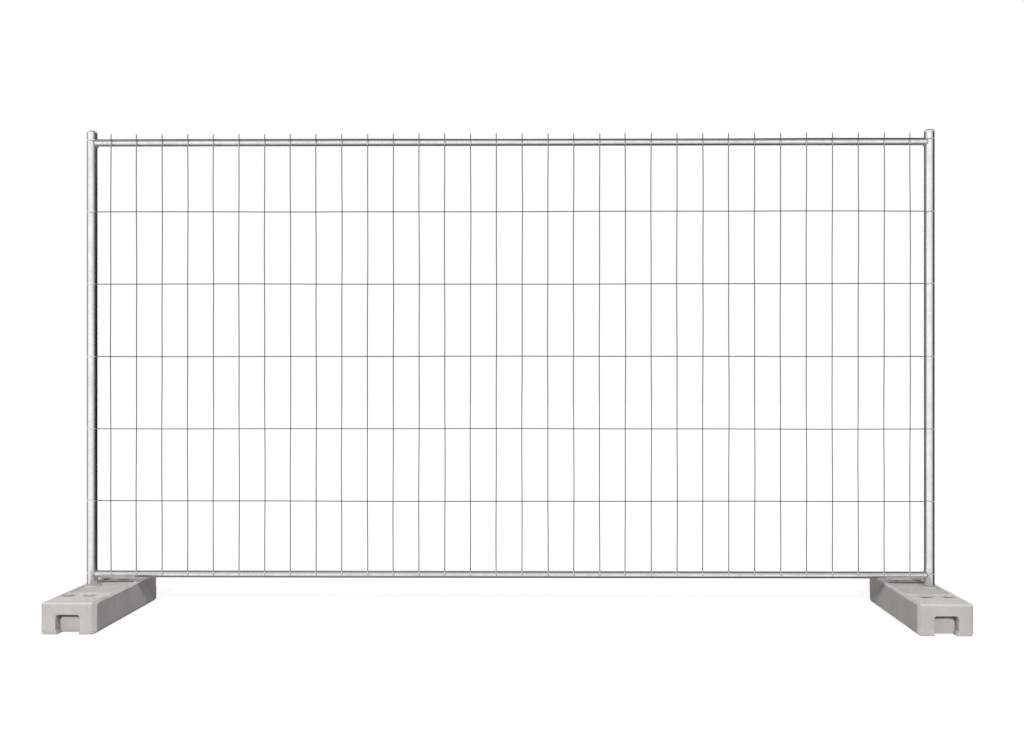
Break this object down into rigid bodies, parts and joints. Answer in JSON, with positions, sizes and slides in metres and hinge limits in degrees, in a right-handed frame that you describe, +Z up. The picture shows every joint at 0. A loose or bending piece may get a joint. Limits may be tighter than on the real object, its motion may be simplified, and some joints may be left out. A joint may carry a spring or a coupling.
{
  "type": "temporary fence panel",
  "caption": "Free-standing temporary fence panel: a welded tube frame with wire mesh, its posts standing in concrete feet that turn about them.",
  "frame": {"origin": "on the ground, midway between the two feet and at the feet's mid-length", "axes": "+X along the panel to its right post, +Y to the back, away from the mesh, +Z up"},
  "size_m": [3.55, 0.6, 2],
  "materials": {
    "galvanised_tube": "hot-dip galvanised, satin",
    "galvanised_wire": "galvanised wire, satin",
    "foot_concrete": "cast concrete, rough",
    "bar_steel": "plain reinforcing steel, rusted"
  },
  "bodies": {
    "panel": {"left_post": "galvanised_tube", "left_post_cap": "galvanised_tube", "right_post": "galvanised_tube", "right_post_cap": "galvanised_tube", "top_rail": "galvanised_tube", "bottom_rail": "galvanised_tube", "vertical_wire_01": "galvanised_wire", "vertical_wire_02": "galvanised_wire", "vertical_wire_03": "galvanised_wire", "vertical_wire_04": "galvanised_wire", "vertical_wire_05": "galvanised_wire", "vertical_wire_06": "galvanised_wire", "vertical_wire_07": "galvanised_wire", "vertical_wire_08": "galvanised_wire", "vertical_wire_09": "galvanised_wire", "vertical_wire_10": "galvanised_wire", "vertical_wire_11": "galvanised_wire", "vertical_wire_12": "galvanised_wire", "vertical_wire_13": "galvanised_wire", "vertical_wire_14": "galvanised_wire", "vertical_wire_15": "galvanised_wire", "vertical_wire_16": "galvanised_wire", "vertical_wire_17": "galvanised_wire", "vertical_wire_18": "galvanised_wire", "vertical_wire_19": "galvanised_wire", "vertical_wire_20": "galvanised_wire", "vertical_wire_21": "galvanised_wire", "vertical_wire_22": "galvanised_wire", "vertical_wire_23": "galvanised_wire", "vertical_wire_24": "galvanised_wire", "vertical_wire_25": "galvanised_wire", "vertical_wire_26": "galvanised_wire", "vertical_wire_27": "galvanised_wire", "vertical_wire_28": "galvanised_wire", "vertical_wire_29": "galvanised_wire", "vertical_wire_30": "galvanised_wire", "vertical_wire_31": "galvanised_wire", "vertical_wire_32": "galvanised_wire", "horizontal_wire_1": "galvanised_wire", "horizontal_wire_2": "galvanised_wire", "horizontal_wire_3": "galvanised_wire", "horizontal_wire_4": "galvanised_wire", "horizontal_wire_5": "galvanised_wire", "horizontal_wire_6": "galvanised_wire", "horizontal_wire_7": "galvanised_wire"},
    "left_foot": {"left_foot_block": "foot_concrete", "left_foot_bars": "bar_steel"},
    "right_foot": {"right_foot_block": "foot_concrete", "right_foot_bars": "bar_steel"}
  },
  "joints": [
    {"name": "left_foot_swivel", "type": "hinge", "parent": "panel", "child": "left_foot", "pos_m": [-1.729, 0.036, 0], "axis": [0, 0, 1], "continuous": true},
    {"name": "right_foot_swivel", "type": "hinge", "parent": "panel", "child": "right_foot", "pos_m": [1.729, 0.036, 0], "axis": [0, 0, 1], "continuous": true}
  ]
}
